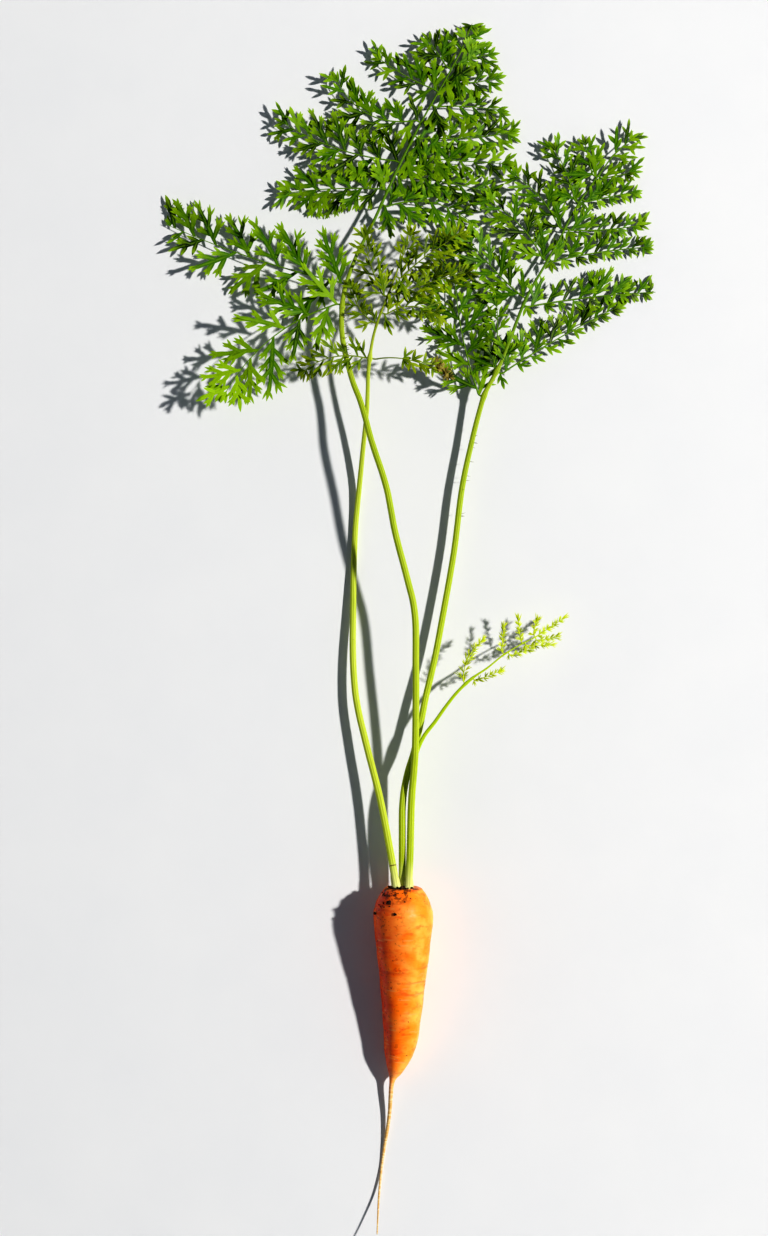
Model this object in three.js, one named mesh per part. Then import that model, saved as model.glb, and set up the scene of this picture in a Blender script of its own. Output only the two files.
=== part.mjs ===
// A young garden carrot, pulled with its leaves on and lying on a flat surface. Millimetres, +Z up.
// The root points along -Y and the leaves along +Y. The origin is on the surface, under the middle of
// the whole plant.
//
// The plant is a taproot and four leaves. A leaf is a stalk with small feathery leaves, called pinnae,
// along both sides of its far end. Here a pinna is one thin plate with a lobed edge.
import * as THREE from 'three';

// ---- Driving dimensions ----------------------------------------------------------------------------

const GAP = 0.3; // between pieces that touch
const CROWN_Y = -109; // where the root's body begins
const STALK_Y = CROWN_Y + 1.2; // where the stalks begin, clear of the crown's sloping end

const ROOT_SIDES = 24;
const ROOT_STATIONS = 44;
// Radius of the root against the distance from the crown: shoulder, taper, blunt end, thin tail.
const ROOT_PROFILE = [
  [0, 8.2],
  [3, 10.3],
  [7, 11.8],
  [11.5, 12.5],
  [25, 11.2],
  [39.5, 9.4],
  [57, 7.7],
  [68, 6.1],
  [75.6, 3.5],
  [80, 1.3],
  [87, 0.9],
  [112, 0.6],
  [146, 0.25],
];
// The root's middle line. Its body tapers, so the middle line slopes down towards the tail.
const ROOT_ROUTE = [
  [-4.2, CROWN_Y, 13.2],
  [-4.2, -122, 11.9],
  [-4.2, -148, 9.25],
  [-5, -172, 6.8],
  [-7.1, -184, 5.6],
  [-8.6, -190, 5],
  [-9.8, -205, 2.6],
  [-12.3, -221, 0.6],
  [-13.6, -232, 1.2],
  [-14.3, -242, 4.5],
  [-14.8, -253, 10],
];

const STALK_SIDES = 8;
const STALK_STEP = 8; // between the rings of a stalk
const STALK_MIDDLE = 0.85; // radius half way, as a share of the radius at the crown
const STALK_END = 0.35; // the same at the far end

const PLATE_THICKNESS = 0.9; // at the middle rib of a pinna
const PLATE_BASE = 0.5; // half width where a pinna joins its stalk
const LOBE_PITCH = 6; // between neighbouring lobes along a pinna
const NOTCH = 0.45; // half width between two lobes, as a share of the half width at a lobe
const LOBE_LEAN = 0.45; // how far a lobe points ahead, as a share of the pitch
const WIDEST = 0.8; // under 1, a pinna is widest nearer its base
const FULLNESS = 0.7; // under 1, a pinna's outline is fuller than a half sine
const BASE_SHARE = 0.02; // keeps the outline off zero at the base

const ROOT_ORANGE = '#e8701a';
const SOIL_BROWN = '#2a1c14';
const STRAW = '#b59a5c';
const SKIN_ROUGHNESS = 0.45;
const STALK_ROUGHNESS = 0.5;
const PLATE_ROUGHNESS = 0.6;
const DRY_ROUGHNESS = 1;

// ---- The four leaves -------------------------------------------------------------------------------

// A pinna: its name, its distance from the crown along the stalk, the bearing it points in (degrees
// from +X), its length, how high its tip is, its half width, how far it bows to its left, and how far
// its middle arches up.
const TALL_LEAF = {
  name: 'tall_leaf',
  colour: '#4c8f1e',
  stalkColour: '#a9c94a',
  radius: 1.5,
  route: [
    [-1.7, STALK_Y, 13.6],
    [-1.1, -95, 13.9],
    [-0.4, -71, 14.3],
    [1, -53, 16],
    [1.3, -38, 17.5],
    [1.3, -15, 20],
    [0.8, 7, 21.8],
    [-2.1, 20, 22.3],
    [-7.3, 40, 22.6],
    [-11, 59, 22.5],
    [-17.1, 78, 20.5],
    [-21.2, 93, 17.8],
    [-25.3, 104, 16],
    [-27.6, 113, 15.2],
    [-29.4, 122, 14.5],
    [-29.3, 135, 13],
    [-28.2, 142, 12],
    [-23.3, 156, 10.4],
    [-16.8, 169, 8.8],
    [-5.9, 193, 7],
    [5.9, 216, 6],
    [12.6, 227.5, 6],
    [20, 241, 5.5],
  ],
  pinnae: [
    ['left_1', 248, 219, 60, 17, 13, -6, 0],
    ['left_2', 257, 161, 78, 2, 14.5, 2, 0],
    ['left_3', 300, 182, 41, 4, 8.5, -1, 0],
    ['left_4', 313, 161, 50, 6, 9, 3, 0],
    ['left_5', 332, 152, 38, 5, 8, 7, 0],
    ['left_6', 347, 150, 27, 4, 6.5, 1, 0],
    ['left_7', 358, 124, 14, 4, 4, 0, 0],
    ['right_1', 294, 350, 36, 5, 8, 5, 0],
    ['right_2', 308, 350, 40, 3, 6.5, 1, 0],
    ['right_3', 317, 356, 41, 7, 6, 0, 0],
    ['right_4', 326, 4, 39, 3, 6, -1, 0],
    ['right_5', 341, 357, 27, 5, 6, 1, 0],
    ['right_6', 353, 6, 20, 4, 4.5, -1, 0],
    ['right_7', 361, 20, 14, 4, 3, 1, 0],
  ],
  tip: ['tip', 68, 13, 5, 4],
};

const RIGHT_LEAF = {
  name: 'right_leaf',
  colour: '#3f7f1c',
  stalkColour: '#a8c83c',
  radius: 1.45,
  route: [
    [-4.2, STALK_Y, 10.6],
    [-4.3, -98, 12.1],
    [-4.3, -90, 12.9],
    [-4, -71, 12.3],
    [-1.7, -59, 10.5],
    [0.8, -51, 9.3],
    [3.7, -38, 8.5],
    [5.9, -27, 7.8],
    [8.8, -15, 7.2],
    [13, 7, 6.5],
    [17.5, 33, 6.2],
    [20.8, 59, 6],
    [24.8, 78, 6.5],
    [28.6, 93, 8],
    [30.6, 99, 8.8],
    [36.5, 110, 9],
    [47.5, 138, 7.5],
    [55.4, 152, 6.2],
    [60.5, 161, 5.6],
    [69.3, 177.5, 4.6],
    [83.6, 197.6, 4],
  ],
  pinnae: [
    ['left_1', 209, 99, 65, 3, 11.5, 3, 0],
    ['left_2', 222, 87, 27, 6, 4, -1, 0],
    ['left_3', 254, 133, 33, 9, 8, 1, 0],
    ['left_4', 272, 135, 36, 8, 8, -3, 0],
    ['left_5', 287, 131, 30, 7, 6.5, -2, 0],
    ['left_6', 300, 112, 24, 5, 6, -1, 0],
    ['left_7', 313, 104, 14, 4, 4, 0, 0],
    ['right_1', 221, 30, 58, 0.5, 9, 1, 0],
    ['right_2', 251, 7, 54, 0.5, 8, 1, 0],
    ['right_3', 273, 9, 42, 1.5, 6.5, 1, 0],
    ['right_4', 288, 5, 31, 2, 6, -1, 0],
    ['right_5', 302, 12, 21, 2, 4.5, 0, 0],
    ['right_6', 314, 12, 14, 3, 4, 0, 0],
  ],
  tip: ['tip', 43, 12, 3.5, 4.5],
};

const OLD_LEAF = {
  name: 'old_leaf',
  colour: '#8f9f2a',
  stalkColour: '#b7c84e',
  radius: 1.5,
  route: [
    [-6.7, STALK_Y, 13.6],
    [-8.6, -97, 12.2],
    [-13.6, -71, 9.7],
    [-19.7, -47, 7.5],
    [-23.5, -30, 6],
    [-24.9, -13, 4.6],
    [-24.9, 7, 3],
    [-24.5, 30, 1.5],
    [-23.8, 44, 1.5],
    [-22.3, 59, 3],
    [-20.4, 78, 8],
    [-18.9, 93, 13],
    [-18.5, 106, 16],
    [-17.5, 115, 17.6],
    [-15.5, 125, 17.5],
    [-13, 132, 17],
    [-9.7, 140, 17],
    [-5, 153, 17.5],
  ],
  pinnae: [
    ['left_1', 225, 193, 27, 15, 6.5, -3, 4],
    ['left_2', 240, 118, 17, 14, 5, 2, 0],
    ['left_3', 252, 107, 26, 14, 6.5, 1, 0],
    ['right_1', 225, 350, 25, 14, 3, 2, 5],
    ['right_2', 245, 356, 23, 14, 6, 4, 1],
    ['right_3', 254, 18, 31, 15, 6.5, 0, 1],
    ['right_4', 261, 36, 31, 18, 6.5, 1, 1],
  ],
  tip: ['tip', 67, 13, 16, 5],
};

const YOUNG_LEAF = {
  name: 'young_leaf',
  colour: '#a9c21f',
  stalkColour: '#a9cc2a',
  radius: 0.95,
  route: [
    [-1.2, STALK_Y, 10.3],
    [-0.9, -90, 10.7],
    [-0.6, -71, 11.3],
    [1.4, -53, 12.6],
    [5.9, -43, 13.2],
    [10.1, -38, 13.6],
    [16, -29.6, 14.2],
    [23.1, -22.1, 14.6],
    [31.5, -16.2, 14.2],
    [38.4, -10.7, 13.6],
    [45.4, -6.5, 13],
    [51.2, -3.6, 12.8],
  ],
  pinnae: [
    ['left_1', 92, 65, 18, 15.5, 4.5, 2, 1],
    ['left_2', 112, 86, 10, 14, 3, 0, 0],
    ['left_3', 121, 96, 9, 14, 2.5, 0, 0],
    ['left_4', 127, 76, 6, 13, 2, 0, 0],
    ['right_1', 96, 22, 11, 17, 2, 0, 1],
    ['right_2', 114, 16, 9, 14, 2, 0, 0],
    ['right_3', 122, 4, 10, 13, 1.5, 0, 0],
    ['right_4', 127.5, 12, 8, 12.5, 1.5, 0, 0],
  ],
  tip: ['tip', 34, 14, 12.5, 3],
};

// A dried leaflet hangs at the end of the old leaf's first right pinna.
const WITHERED = { name: 'old_leaf_withered', bearing: 310, length: 8, drop: 2, halfWidth: 2.6 };

// ---- Soil ------------------------------------------------------------------------------------------

const STALKS_CENTRE = [-4.2, 12.6]; // X and Z of the bundle of stalks at the crown
const SOIL_RING_RADIUS = 5.6; // round the bundle of stalks, on the crown's end face
const SOIL_RING_FROM = 0.05 * Math.PI;
const SOIL_RING_SWEEP = 1.15 * Math.PI;
const SOIL_RING_STEPS = 14;
const SOIL_RING_SIDES = 6;
const SOIL_THICKNESS = 0.65;
const SOIL_UNEVEN = 0.28; // how much thinner and thicker the ring gets
const SOIL_LUMPS = 2.7; // along the ring
// Crumbs on the shoulder: size, distance from the crown, and angle round the root from +X.
const CRUMBS = [
  [1, 4.5, 118],
  [0.7, 9.5, 104],
  [0.6, 9.5, 152],
];

// ---- Shapes ----------------------------------------------------------------------------------------

const UP = new THREE.Vector3(0, 0, 1);

function routeThrough(points) {
  return new THREE.CatmullRomCurve3(points.map(([x, y, z]) => new THREE.Vector3(x, y, z)));
}

/**
 * A closed solid swept along a curve. Each station is a share of the curve's length, and sectionAt
 * gives its outline there as [aside, above, ahead] offsets, anticlockwise as seen from ahead.
 */
function sweep(curve, stations, sectionAt, up = UP) {
  const positions = [];
  const indices = [];
  let sides = 0;
  stations.forEach((share, station) => {
    const centre = curve.getPointAt(share);
    const ahead = curve.getTangentAt(share);
    const aside = new THREE.Vector3().crossVectors(up, ahead).normalize();
    const above = new THREE.Vector3().crossVectors(ahead, aside);
    const section = sectionAt(share, station);
    sides = section.length;
    for (const [across, over, along] of section) {
      const corner = centre
        .clone()
        .addScaledVector(aside, across)
        .addScaledVector(above, over)
        .addScaledVector(ahead, along);
      positions.push(corner.x, corner.y, corner.z);
    }
  });
  const ringOf = (station, side) => station * sides + (side % sides);
  for (let station = 0; station < stations.length - 1; station += 1) {
    for (let side = 0; side < sides; side += 1) {
      const a = ringOf(station, side);
      const b = ringOf(station, side + 1);
      const c = ringOf(station + 1, side + 1);
      const d = ringOf(station + 1, side);
      indices.push(a, b, c, a, c, d);
    }
  }
  const last = stations.length - 1;
  for (let side = 1; side < sides - 1; side += 1) {
    indices.push(ringOf(0, 0), ringOf(0, side + 1), ringOf(0, side));
    indices.push(ringOf(last, 0), ringOf(last, side), ringOf(last, side + 1));
  }
  const geometry = new THREE.BufferGeometry();
  geometry.setAttribute('position', new THREE.Float32BufferAttribute(positions, 3));
  geometry.setIndex(indices);
  geometry.computeVertexNormals();
  return geometry;
}

/** A round outline. Turned by half a side, so that a flat lies at the bottom. */
function roundSection(radius, sides) {
  return Array.from({ length: sides }, (_, side) => {
    const angle = ((side + 0.5) / sides) * 2 * Math.PI;
    return [radius * Math.cos(angle), radius * Math.sin(angle), 0];
  });
}

function evenStations(count) {
  return Array.from({ length: count + 1 }, (_, station) => station / count);
}

/** The root's round side is pressed a little flat where it rests, so that nothing is below Z 0. */
function flattenUnderside(geometry) {
  const position = geometry.getAttribute('position');
  for (let corner = 0; corner < position.count; corner += 1) {
    position.setZ(corner, Math.max(position.getZ(corner), 0));
  }
  geometry.computeVertexNormals();
  return geometry;
}

function taprootGeometry() {
  const profile = new THREE.SplineCurve(ROOT_PROFILE.map(([x, y]) => new THREE.Vector2(x, y)));
  const rings = profile.getPoints(ROOT_STATIONS);
  const reach = rings[rings.length - 1].x;
  const geometry = sweep(
    routeThrough(ROOT_ROUTE),
    rings.map((ring) => Math.min(ring.x / reach, 1)),
    (share, station) => roundSection(rings[station].y, ROOT_SIDES),
  );
  return flattenUnderside(geometry);
}

function rootRadiusAt(distance) {
  const after = ROOT_PROFILE.findIndex(([x]) => x > distance);
  const [x0, r0] = ROOT_PROFILE[after - 1];
  const [x1, r1] = ROOT_PROFILE[after];
  return THREE.MathUtils.mapLinear(distance, x0, x1, r0, r1);
}

function stalkGeometry(route, radius) {
  const taper = (share) => {
    const early = THREE.MathUtils.lerp(1, STALK_MIDDLE, Math.min(share * 2, 1));
    const late = THREE.MathUtils.lerp(0, STALK_MIDDLE - STALK_END, Math.max(share * 2 - 1, 0));
    return radius * (early - late);
  };
  const steps = Math.round(route.getLength() / STALK_STEP);
  return sweep(route, evenStations(steps), (share) => roundSection(taper(share), STALK_SIDES));
}

/** The middle rib of a pinna, from its base along its bearing. */
function ribFrom(base, bearing, length, tipHeight, bow, arch) {
  const heading = new THREE.Vector3(Math.cos(bearing), Math.sin(bearing), 0);
  const left = new THREE.Vector3(-heading.y, heading.x, 0);
  const tip = base.clone().addScaledVector(heading, length).setZ(tipHeight);
  const middle = base
    .clone()
    .lerp(tip, 0.5)
    .addScaledVector(left, 2 * bow)
    .addScaledVector(UP, 2 * arch);
  return new THREE.QuadraticBezierCurve3(base, middle, tip);
}

/** A thin plate along a rib. Its edge goes in and out, with a lobe on both sides at every other step. */
function pinnaGeometry(rib, halfWidth) {
  const lobes = Math.max(2, Math.round(rib.getLength() / LOBE_PITCH));
  const steps = 2 * lobes;
  const sectionAt = (share, station) => {
    const isEnd = station === 0 || station === steps;
    const isLobe = station % 2 === 1;
    const outline = Math.sin(Math.PI * Math.max(share, BASE_SHARE) ** WIDEST);
    const envelope = halfWidth * Math.max(outline, 0) ** FULLNESS;
    const half = isEnd ? PLATE_BASE : Math.max(PLATE_BASE, envelope * (isLobe ? 1 : NOTCH));
    const lean = isLobe ? LOBE_PITCH * LOBE_LEAN : 0;
    return [
      [half, 0, lean],
      [0, PLATE_THICKNESS / 2, 0],
      [-half, 0, lean],
      [0, -PLATE_THICKNESS / 2, 0],
    ];
  };
  return sweep(rib, evenStations(steps), sectionAt);
}

/** An uneven ring of soil, part of the way round the stalks. */
function soilRingGeometry() {
  const [x, z] = STALKS_CENTRE;
  const ring = routeThrough(
    evenStations(SOIL_RING_STEPS).map((share) => {
      const angle = SOIL_RING_FROM + share * SOIL_RING_SWEEP;
      return [x + SOIL_RING_RADIUS * Math.cos(angle), STALK_Y, z + SOIL_RING_RADIUS * Math.sin(angle)];
    }),
  );
  const lumps = (share) => Math.sin(2 * Math.PI * SOIL_LUMPS * share);
  const thickness = (share) => SOIL_THICKNESS * (1 - SOIL_UNEVEN + SOIL_UNEVEN * lumps(share));
  const section = (share) => roundSection(thickness(share), SOIL_RING_SIDES);
  return sweep(ring, evenStations(SOIL_RING_STEPS), section, new THREE.Vector3(0, 1, 0));
}

// ---- Assembly --------------------------------------------------------------------------------------

function piece(name, geometry, colour, roughness) {
  const material = new THREE.MeshStandardMaterial({ color: colour, roughness, metalness: 0 });
  const mesh = new THREE.Mesh(geometry, material);
  mesh.name = name;
  return mesh;
}

/** Where a pinna starts: just outside the stalk's skin, on the side that it points to. */
function baseOnStalk(route, length, distance, bearing, stalkRadius) {
  const share = Math.min(distance / length, 1);
  const point = route.getPointAt(share);
  const ahead = route.getTangentAt(share);
  const heading = Math.atan2(ahead.y, ahead.x);
  const away = Math.sin(bearing - heading) >= 0 ? heading + Math.PI / 2 : heading - Math.PI / 2;
  const offset = stalkRadius + GAP + PLATE_BASE;
  return point.add(new THREE.Vector3(Math.cos(away) * offset, Math.sin(away) * offset, 0));
}

function leaf({ name, colour, stalkColour, radius, route, pinnae, tip }) {
  const group = new THREE.Group();
  const curve = routeThrough(route);
  const length = curve.getLength();
  group.add(piece(`${name}_stalk`, stalkGeometry(curve, radius), stalkColour, STALK_ROUGHNESS));
  for (const [side, distance, degrees, reach, tipHeight, halfWidth, bow, arch] of pinnae) {
    const bearing = THREE.MathUtils.degToRad(degrees);
    const base = baseOnStalk(curve, length, distance, bearing, radius);
    const rib = ribFrom(base, bearing, reach, tipHeight, bow, arch);
    group.add(piece(`${name}_pinna_${side}`, pinnaGeometry(rib, halfWidth), colour, PLATE_ROUGHNESS));
  }
  const [side, degrees, reach, tipHeight, halfWidth] = tip;
  const end = curve.getPointAt(1).addScaledVector(curve.getTangentAt(1), GAP);
  const rib = ribFrom(end, THREE.MathUtils.degToRad(degrees), reach, tipHeight, 0, 0);
  group.add(piece(`${name}_pinna_${side}`, pinnaGeometry(rib, halfWidth), colour, PLATE_ROUGHNESS));
  return group;
}

function witheredLeaflet(oldLeaf) {
  const arm = oldLeaf.getObjectByName('old_leaf_pinna_right_1').geometry;
  arm.computeBoundingBox();
  const { min, max } = arm.boundingBox;
  const start = new THREE.Vector3(max.x + GAP + PLATE_BASE, (min.y + max.y) / 2, min.z);
  const bearing = THREE.MathUtils.degToRad(WITHERED.bearing);
  const rib = ribFrom(start, bearing, WITHERED.length, start.z - WITHERED.drop, 0, 0);
  return piece(WITHERED.name, pinnaGeometry(rib, WITHERED.halfWidth), STRAW, DRY_ROUGHNESS);
}

function crumb([size, distance, degrees], index) {
  const lump = new THREE.IcosahedronGeometry(size, 0);
  const mesh = piece(`soil_crumb_${index + 1}`, lump, SOIL_BROWN, DRY_ROUGHNESS);
  const route = routeThrough(ROOT_ROUTE);
  const angle = THREE.MathUtils.degToRad(degrees);
  const reach = rootRadiusAt(distance) + GAP + size;
  mesh.position
    .copy(route.getPointAt(distance / route.getLength()))
    .add(new THREE.Vector3(reach * Math.cos(angle), 0, reach * Math.sin(angle)));
  mesh.rotation.set(index, 2 * index, 0);
  return mesh;
}

const carrot = new THREE.Group();
const oldLeaf = leaf(OLD_LEAF);
carrot.add(piece('taproot', taprootGeometry(), ROOT_ORANGE, SKIN_ROUGHNESS));
carrot.add(piece('crown_soil', soilRingGeometry(), SOIL_BROWN, DRY_ROUGHNESS));
carrot.add(...CRUMBS.map(crumb));
carrot.add(oldLeaf, leaf(TALL_LEAF), leaf(RIGHT_LEAF), leaf(YOUNG_LEAF));
carrot.add(witheredLeaflet(oldLeaf));

const bounds = new THREE.Box3().setFromObject(carrot);
const middle = bounds.getCenter(new THREE.Vector3());
carrot.position.set(-middle.x, -middle.y, -bounds.min.z);

export default carrot;
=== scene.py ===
import math
import random

import bmesh
import bpy
import numpy as np
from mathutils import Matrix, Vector, noise


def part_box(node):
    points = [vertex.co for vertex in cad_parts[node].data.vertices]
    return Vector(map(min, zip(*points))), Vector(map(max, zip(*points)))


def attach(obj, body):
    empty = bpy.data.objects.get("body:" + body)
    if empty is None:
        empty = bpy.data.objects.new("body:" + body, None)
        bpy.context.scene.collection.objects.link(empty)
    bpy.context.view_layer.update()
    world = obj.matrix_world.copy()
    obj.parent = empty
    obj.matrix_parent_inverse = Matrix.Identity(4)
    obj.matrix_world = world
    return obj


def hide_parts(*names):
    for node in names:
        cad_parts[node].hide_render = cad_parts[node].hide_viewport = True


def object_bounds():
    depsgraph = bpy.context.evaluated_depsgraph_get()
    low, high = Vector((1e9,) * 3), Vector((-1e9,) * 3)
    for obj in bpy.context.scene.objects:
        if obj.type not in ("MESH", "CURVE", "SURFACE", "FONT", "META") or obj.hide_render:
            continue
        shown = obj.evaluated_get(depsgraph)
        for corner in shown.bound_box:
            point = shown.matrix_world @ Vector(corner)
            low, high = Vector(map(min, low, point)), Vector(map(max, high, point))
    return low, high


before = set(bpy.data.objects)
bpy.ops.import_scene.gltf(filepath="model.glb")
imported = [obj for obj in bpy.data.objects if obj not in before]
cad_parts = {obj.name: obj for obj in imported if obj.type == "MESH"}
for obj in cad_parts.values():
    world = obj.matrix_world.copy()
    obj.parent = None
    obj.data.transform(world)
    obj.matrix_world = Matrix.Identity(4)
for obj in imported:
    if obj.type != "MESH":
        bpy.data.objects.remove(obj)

MM = 0.001
CAD_LO, CAD_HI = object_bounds()
CAD_SIZE = CAD_HI - CAD_LO
UP = np.array([0.0, 0.0, 1.0])

ROOT_CORNERS = 24
STALK_CORNERS = 8
PLATE_CORNERS = 4
PLATE_END = 1.05 * MM  # no end ring of a plate is wider

LEAVES = ("tall_leaf", "right_leaf", "old_leaf", "young_leaf")

CLEARANCE = 0.12 * MM  # a point lower than this over the table is pressed flat
PRESS_DEPTH = 4 * MM


# ---- Reading the frame -----------------------------------------------------------------------------

def welded(node):
    """The node's corners with no doubles, and for each one the corners that it shares an edge with."""
    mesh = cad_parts[node].data
    places = np.empty(len(mesh.vertices) * 3)
    mesh.vertices.foreach_get("co", places)
    points, index = np.unique(np.round(places.reshape(-1, 3), 7), axis=0, return_inverse=True)
    ends = np.empty(len(mesh.edges) * 2, int)
    mesh.edges.foreach_get("vertices", ends)
    neighbours = [set() for _ in points]
    for a, b in index.reshape(-1)[ends].reshape(-1, 2):
        neighbours[a].add(int(b))
        neighbours[b].add(int(a))
    return points, neighbours


def rings_of(node, corners, nearness):
    """The rings that the node was swept from, as an array. nearness gives a low value at its first end."""
    points, neighbours = welded(node)
    layer = [int(i) for i in np.argsort(nearness(points))[:corners]]
    seen = set(layer)
    rings = []
    while layer:
        rings.append(points[layer])
        layer = sorted(set().union(*(neighbours[i] for i in layer)) - seen)
        seen.update(layer)
    return np.array(rings)


def tube_of(node, corners, nearness):
    """A node's middle line, with the radius as a fourth column."""
    rings = rings_of(node, corners, nearness)
    centres = rings.mean(axis=1)
    radii = np.median(np.linalg.norm(rings - centres[:, None], axis=2), axis=1)
    return np.column_stack([centres, radii])


def plate_of(node, parent_line):
    """A pinna's rib points, from its base outwards, and the plate's half width at each of them."""
    points, _ = welded(node)
    apart = np.sort(np.linalg.norm(points[:, None] - points, axis=2), axis=1)[:, PLATE_CORNERS - 1]
    ends = points[apart < PLATE_END]
    gaps = np.linalg.norm(ends[:, None] - parent_line[None, :, :3], axis=2).min(axis=1)
    first = ends[np.argmin(gaps)]
    ribs, halves = [], []
    for ring in rings_of(node, PLATE_CORNERS, lambda p: np.linalg.norm(p - first, axis=1)):
        pairs = [(i, j) for i in range(PLATE_CORNERS) for j in range(i + 1, PLATE_CORNERS)]
        steepness = [abs(ring[i][2] - ring[j][2]) / np.linalg.norm(ring[i] - ring[j]) for i, j in pairs]
        upright = pairs[int(np.argmax(steepness))]
        edges = [i for i in range(PLATE_CORNERS) if i not in upright]
        ribs.append(ring[list(upright)].mean(axis=0))
        halves.append(np.linalg.norm(ring[edges[0]] - ring[edges[1]]) / 2)
    return np.array(ribs), np.array(halves)


# ---- Lines and surfaces ----------------------------------------------------------------------------

def smooth(points, spacing):
    """A smooth line through the points, with its own points about spacing apart."""
    padded = np.vstack([2 * points[0] - points[1], points, 2 * points[-1] - points[-2]])
    out = []
    for k in range(1, len(padded) - 2):
        before, here, after, beyond = padded[k - 1:k + 3]
        count = max(1, int(round(np.linalg.norm((after - here)[:3]) / spacing)))
        t = (np.arange(count) / count)[:, None]
        out.append(0.5 * (2 * here + (after - before) * t
                          + (2 * before - 5 * here + 4 * after - beyond) * t ** 2
                          + (3 * here - before - 3 * after + beyond) * t ** 3))
    return np.vstack([*out, points[-1:]])


def lengths_along(line):
    steps = np.linalg.norm(np.diff(line[:, :3], axis=0), axis=1)
    return np.concatenate([[0.0], np.cumsum(steps)])


def unit(vectors):
    return vectors / np.maximum(np.linalg.norm(vectors, axis=-1, keepdims=True), 1e-12)


def directions(line):
    """Unit vectors ahead, to the left and above, at each point of a line that is never upright."""
    ahead = unit(np.gradient(line[:, :3], axis=0))
    left = unit(np.cross(UP, ahead))
    return ahead, left, np.cross(ahead, left)


def turns_round(sides):
    return 2 * np.pi * np.arange(sides) / sides


def spokes(line, angle):
    """The line's directions ahead, and at each point unit vectors out to its skin at the angles given."""
    ahead, left, above = directions(line)
    return ahead, np.cos(angle)[..., None] * left[:, None] + np.sin(angle)[..., None] * above[:, None]


def off_floor(points):
    """Presses whatever would be under the table's surface flat on top of it."""
    height = points[..., 2]
    pressed = CLEARANCE * np.exp(np.minimum((height - CLEARANCE) / PRESS_DEPTH, 0))
    points[..., 2] = np.where(height < CLEARANCE, pressed, height)
    return points


class Skin:
    """Collects closed swept surfaces into one mesh. Every corner also carries values for the material."""

    def __init__(self, *names):
        self.points, self.quads, self.caps, self.count = [], [], [], 0
        self.values = {name: [] for name in names}

    def add(self, rings, **values):
        """rings is one surface (stations, sides, 3) or many alike (surfaces, stations, sides, 3)."""
        rings = rings.reshape((-1, *rings.shape[-3:]))
        shape = rings.shape[:3]
        index = self.count + np.arange(np.prod(shape)).reshape(shape)
        beside = np.roll(index, -1, axis=2)
        quads = np.stack([index[:, :-1], beside[:, :-1], beside[:, 1:], index[:, 1:]], axis=-1)
        self.quads.append(quads.reshape(-1, 4))
        self.caps += index[:, 0, ::-1].tolist()
        self.caps += index[:, -1].tolist()
        self.points.append(rings.reshape(-1, 3))
        self.count += index.size
        for name, collected in self.values.items():
            value = np.asarray(values.get(name, 0.0), float)
            collected.append(np.broadcast_to(value, shape).reshape(-1))

    def build(self, name, material, sharp_angle=None):
        mesh = bpy.data.meshes.new(name)
        points = off_floor(np.vstack(self.points))
        mesh.from_pydata(points.tolist(), [], np.vstack(self.quads).tolist() + self.caps)
        mesh.polygons.foreach_set("use_smooth", [True] * len(mesh.polygons))
        for value, collected in self.values.items():
            layer = mesh.attributes.new(value, "FLOAT", "POINT")
            layer.data.foreach_set("value", np.concatenate(collected))
        if sharp_angle:
            mesh.set_sharp_from_angle(angle=math.radians(sharp_angle))
        mesh.materials.append(material)
        piece = bpy.data.objects.new(name, mesh)
        bpy.context.scene.collection.objects.link(piece)
        return piece


def stand_for(piece, node, slot):
    """The piece rides on the plant and stands for its CAD node. The slot is not used."""
    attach(piece, "root")
    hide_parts(node)


# ---- Materials -------------------------------------------------------------------------------------

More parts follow.
